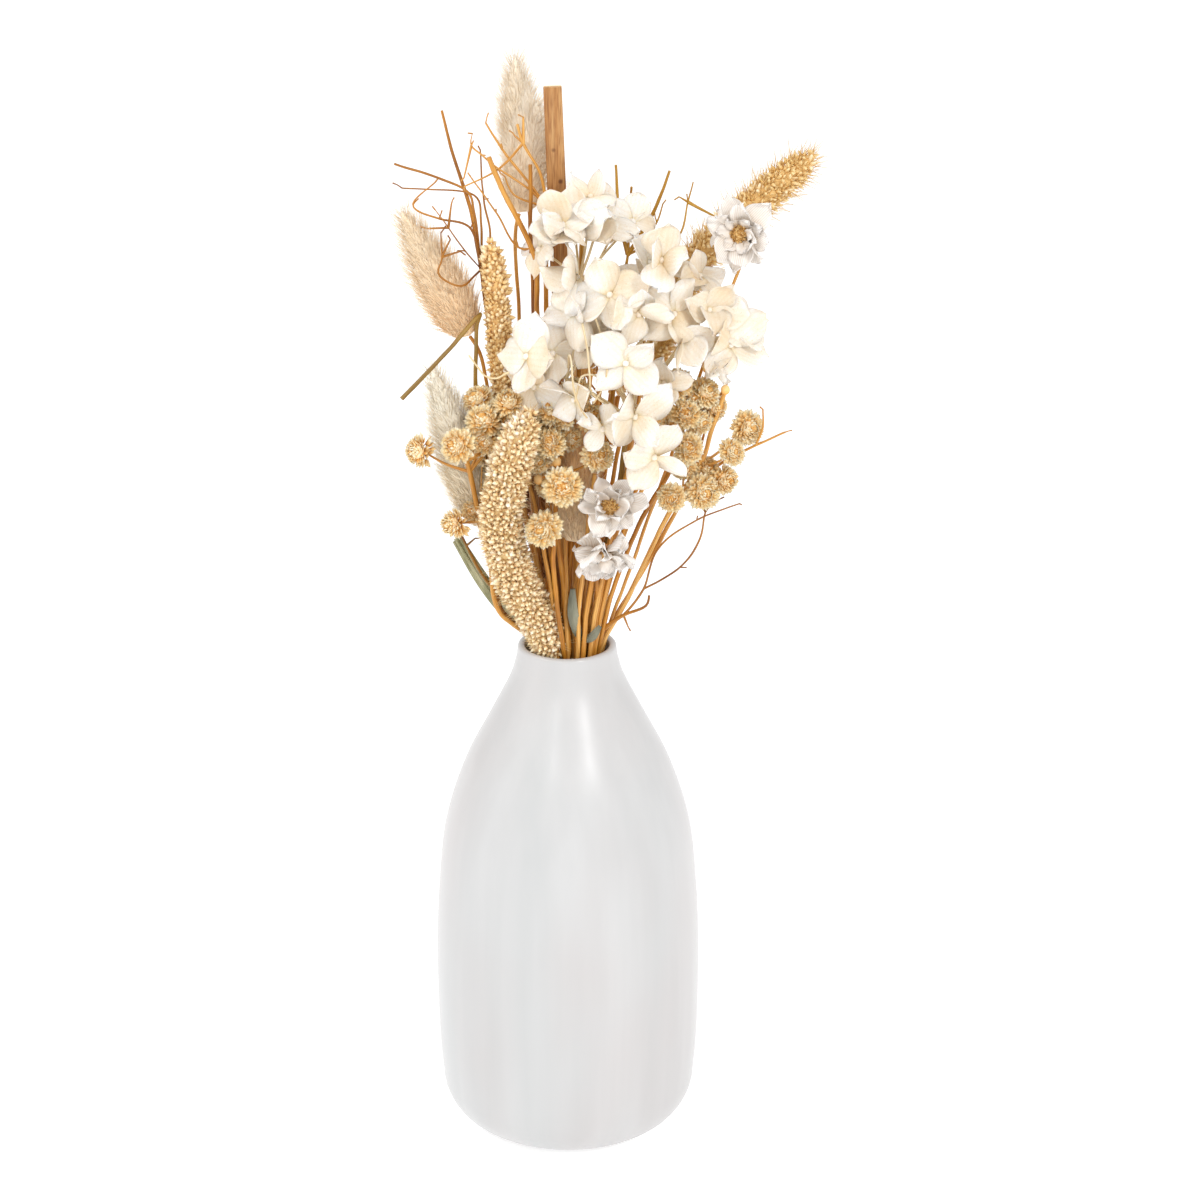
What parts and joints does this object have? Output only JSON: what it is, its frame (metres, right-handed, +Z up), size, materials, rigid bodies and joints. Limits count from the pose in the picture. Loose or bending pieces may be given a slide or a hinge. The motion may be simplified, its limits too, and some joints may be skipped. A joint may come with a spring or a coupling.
{
  "type": "vase of dried flowers",
  "caption": "White glazed bottle vase that holds a loose bouquet of dried flowers: bunny tails, millet spikes, hydrangea, strawflowers, daisies and twigs, as decoration for a shelf or table",
  "frame": {"origin": "the centre of the vase's flat foot, on the surface that it stands on", "axes": "+Z up along the vase, the front of the bouquet faces -Y, +X to the right seen from the front"},
  "size_m": [0.138, 0.0892, 0.3707],
  "materials": {
    "glaze": "glossy white glaze",
    "bunny_tail_hair": "soft fine hairs",
    "millet_grain": "dry husked grains",
    "brown_grain": "dry brown husks",
    "hydrangea_petal": "thin veined petals",
    "papery_bract": "papery, half clear",
    "daisy_cream": "dry cream bracts",
    "golden_stalk": "satin dry straw",
    "olive_stalk": "dry woody stem",
    "slat_wood": "plain split wood",
    "green_leaf": "matt dry leaf",
    "grey_leaf": "matt dry leaf"
  },
  "bodies": {
    "root": {"vase": "glaze", "bunny_tail_top_head": "bunny_tail_hair", "bunny_tail_top_stem": "golden_stalk", "bunny_tail_upper_head": "bunny_tail_hair", "bunny_tail_upper_stem": "golden_stalk", "bunny_tail_left_head": "bunny_tail_hair", "bunny_tail_left_stem": "golden_stalk", "bunny_tail_low_left_head": "bunny_tail_hair", "bunny_tail_low_left_stem": "golden_stalk", "bunny_tail_middle_head": "bunny_tail_hair", "bunny_tail_middle_stem": "golden_stalk", "spike_front_head": "millet_grain", "spike_upper_head": "millet_grain", "spike_right_head": "millet_grain", "spike_back_head": "brown_grain", "spike_front_stem": "golden_stalk", "spike_upper_stem": "golden_stalk", "spike_right_stem": "golden_stalk", "spike_back_stem": "golden_stalk", "hydrangea_bloom": "hydrangea_petal", "hydrangea_stem": "olive_stalk", "strawflower_right_head": "papery_bract", "strawflower_right_stem": "golden_stalk", "strawflower_front_head": "papery_bract", "strawflower_front_stem": "golden_stalk", "strawflower_low_head": "papery_bract", "strawflower_low_stem": "golden_stalk", "daisy_spray_left": "daisy_cream", "daisy_spray_front": "daisy_cream", "daisy_spray_right": "daisy_cream", "daisy_spray_back": "daisy_cream", "twigs_left": "golden_stalk", "twigs_top": "golden_stalk", "twigs_upper_right": "golden_stalk", "twigs_right": "golden_stalk", "twigs_far_right": "golden_stalk", "twigs_low_left": "golden_stalk", "stalk_tall": "golden_stalk", "stalk_short": "golden_stalk", "stalk_back_left": "golden_stalk", "stalk_back_middle": "golden_stalk", "stalk_back_right": "golden_stalk", "stalk_snapped": "olive_stalk", "slat": "slat_wood", "green_leaf": "green_leaf", "grey_leaves": "grey_leaf"}
  },
  "joints": []
}
